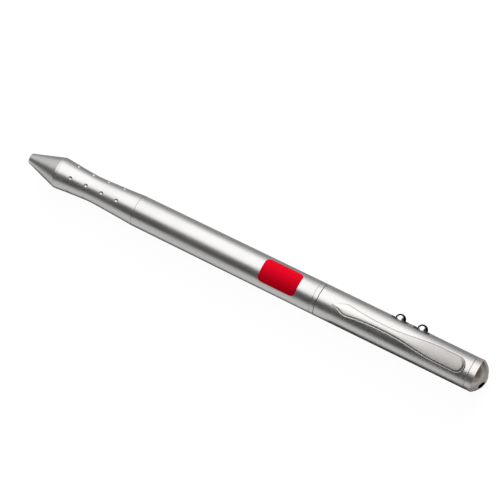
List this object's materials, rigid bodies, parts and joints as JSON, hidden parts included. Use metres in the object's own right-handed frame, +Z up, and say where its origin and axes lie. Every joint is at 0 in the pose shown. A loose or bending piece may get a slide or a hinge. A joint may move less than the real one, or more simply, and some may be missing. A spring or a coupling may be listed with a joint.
{
  "type": "laser pointer",
  "caption": "Slim metal twist-action ballpoint with a waisted dimpled grip, spear-shaped clip, ball push buttons and a domed end that holds a laser and a lamp.",
  "frame": {"origin": "bottom centre of the box round the pen lying on a table, clip up", "axes": "+X along the pen from the writing tip to the lamp end, +Y the side of the two ball buttons, +Z up, the side of the clip"},
  "size_m": [0.152, 0.0114, 0.0113],
  "materials": {
    "satin_barrel": "satin anodised aluminium",
    "dark_nickel": "turned, smooth grey nickel finish",
    "bright_trim": "polished trim",
    "cap_metal": "smooth anodised aluminium",
    "clip_metal": "satin stamped sheet",
    "ball_chrome": "polished chrome plate",
    "label_red": "plain red, unprinted",
    "brass": "turned",
    "bright_steel": "plain",
    "cell_steel": "nickel plated can",
    "white_plastic": "moulded",
    "black_plastic": "moulded",
    "switch_case": "stamped cover",
    "board_green": "solder mask",
    "cell_wrap": "thin insulating film",
    "lens_red": "clear moulded lens",
    "lamp_clear": "clear epoxy"
  },
  "bodies": {
    "lower_half": {"lower_barrel": "satin_barrel", "grip_sleeve": "satin_barrel", "label_plate": "label_red", "center_ring": "bright_trim", "cam_housing": "white_plastic"},
    "nose": {"nose_cone": "dark_nickel"},
    "refill": {"refill_point": "brass", "refill_ball": "bright_steel", "refill_tube": "bright_steel", "refill_plug": "black_plastic", "cam_follower": "white_plastic", "follower_pin": "bright_steel"},
    "drive": {"drive_coupling": "brass", "cam_sleeve": "brass", "battery_spring": "bright_steel"},
    "upper_half": {"upper_barrel": "satin_barrel", "end_cap": "cap_metal", "button_cell_1": "cell_steel", "button_cell_2": "cell_steel", "button_cell_3": "cell_steel", "cell_sleeve": "cell_wrap", "cell_contact": "brass", "board_carrier": "black_plastic", "circuit_board": "board_green", "driver_chip": "black_plastic", "board_resistor_1": "black_plastic", "board_resistor_2": "black_plastic", "board_resistor_3": "black_plastic", "laser_switch": "switch_case", "lamp_switch": "switch_case", "laser_housing": "brass", "laser_lens": "lens_red", "laser_diode": "bright_steel", "laser_lead_1": "bright_steel", "laser_lead_2": "bright_steel", "lamp_led": "lamp_clear", "lamp_lead_1": "bright_steel", "lamp_lead_2": "bright_steel"},
    "laser_button": {"laser_button": "ball_chrome", "laser_plunger": "black_plastic"},
    "lamp_button": {"lamp_button": "ball_chrome", "lamp_plunger": "black_plastic"},
    "clip": {"pocket_clip": "clip_metal"}
  },
  "joints": [
    {"name": "twist", "type": "hinge", "parent": "lower_half", "child": "drive", "pos_m": [0.02285, -0.00076, 0.00498], "axis": [1, 0, 0], "range_deg": [0, 180]},
    {"name": "refill_advance", "type": "slide", "parent": "lower_half", "child": "refill", "axis": [-1, 0, 0], "range_m": [0, 0.0045]},
    {"name": "upper_unscrew", "type": "slide", "parent": "drive", "child": "upper_half", "axis": [1, 0, 0], "range_m": [0, 0.012]},
    {"name": "nose_unscrew", "type": "slide", "parent": "lower_half", "child": "nose", "axis": [-1, 0, 0], "range_m": [0, 0.012]},
    {"name": "laser_press", "type": "slide", "parent": "upper_half", "child": "laser_button", "axis": [0, -1, 0], "range_m": [0, 0.0005], "stiffness_N_per_m": 2500},
    {"name": "lamp_press", "type": "slide", "parent": "upper_half", "child": "lamp_button", "axis": [0, -1, 0], "range_m": [0, 0.0005], "stiffness_N_per_m": 2500},
    {"name": "clip_flex", "type": "hinge", "parent": "upper_half", "child": "clip", "pos_m": [0.06745, -0.00076, 0.00998], "axis": [0, 1, 0], "range_deg": [0, 4], "stiffness_Nm_per_rad": 1.6}
  ],
  "couplings": [
    {"joint": "twist", "follows": "refill_advance", "rad_per_m": 698.13}
  ]
}
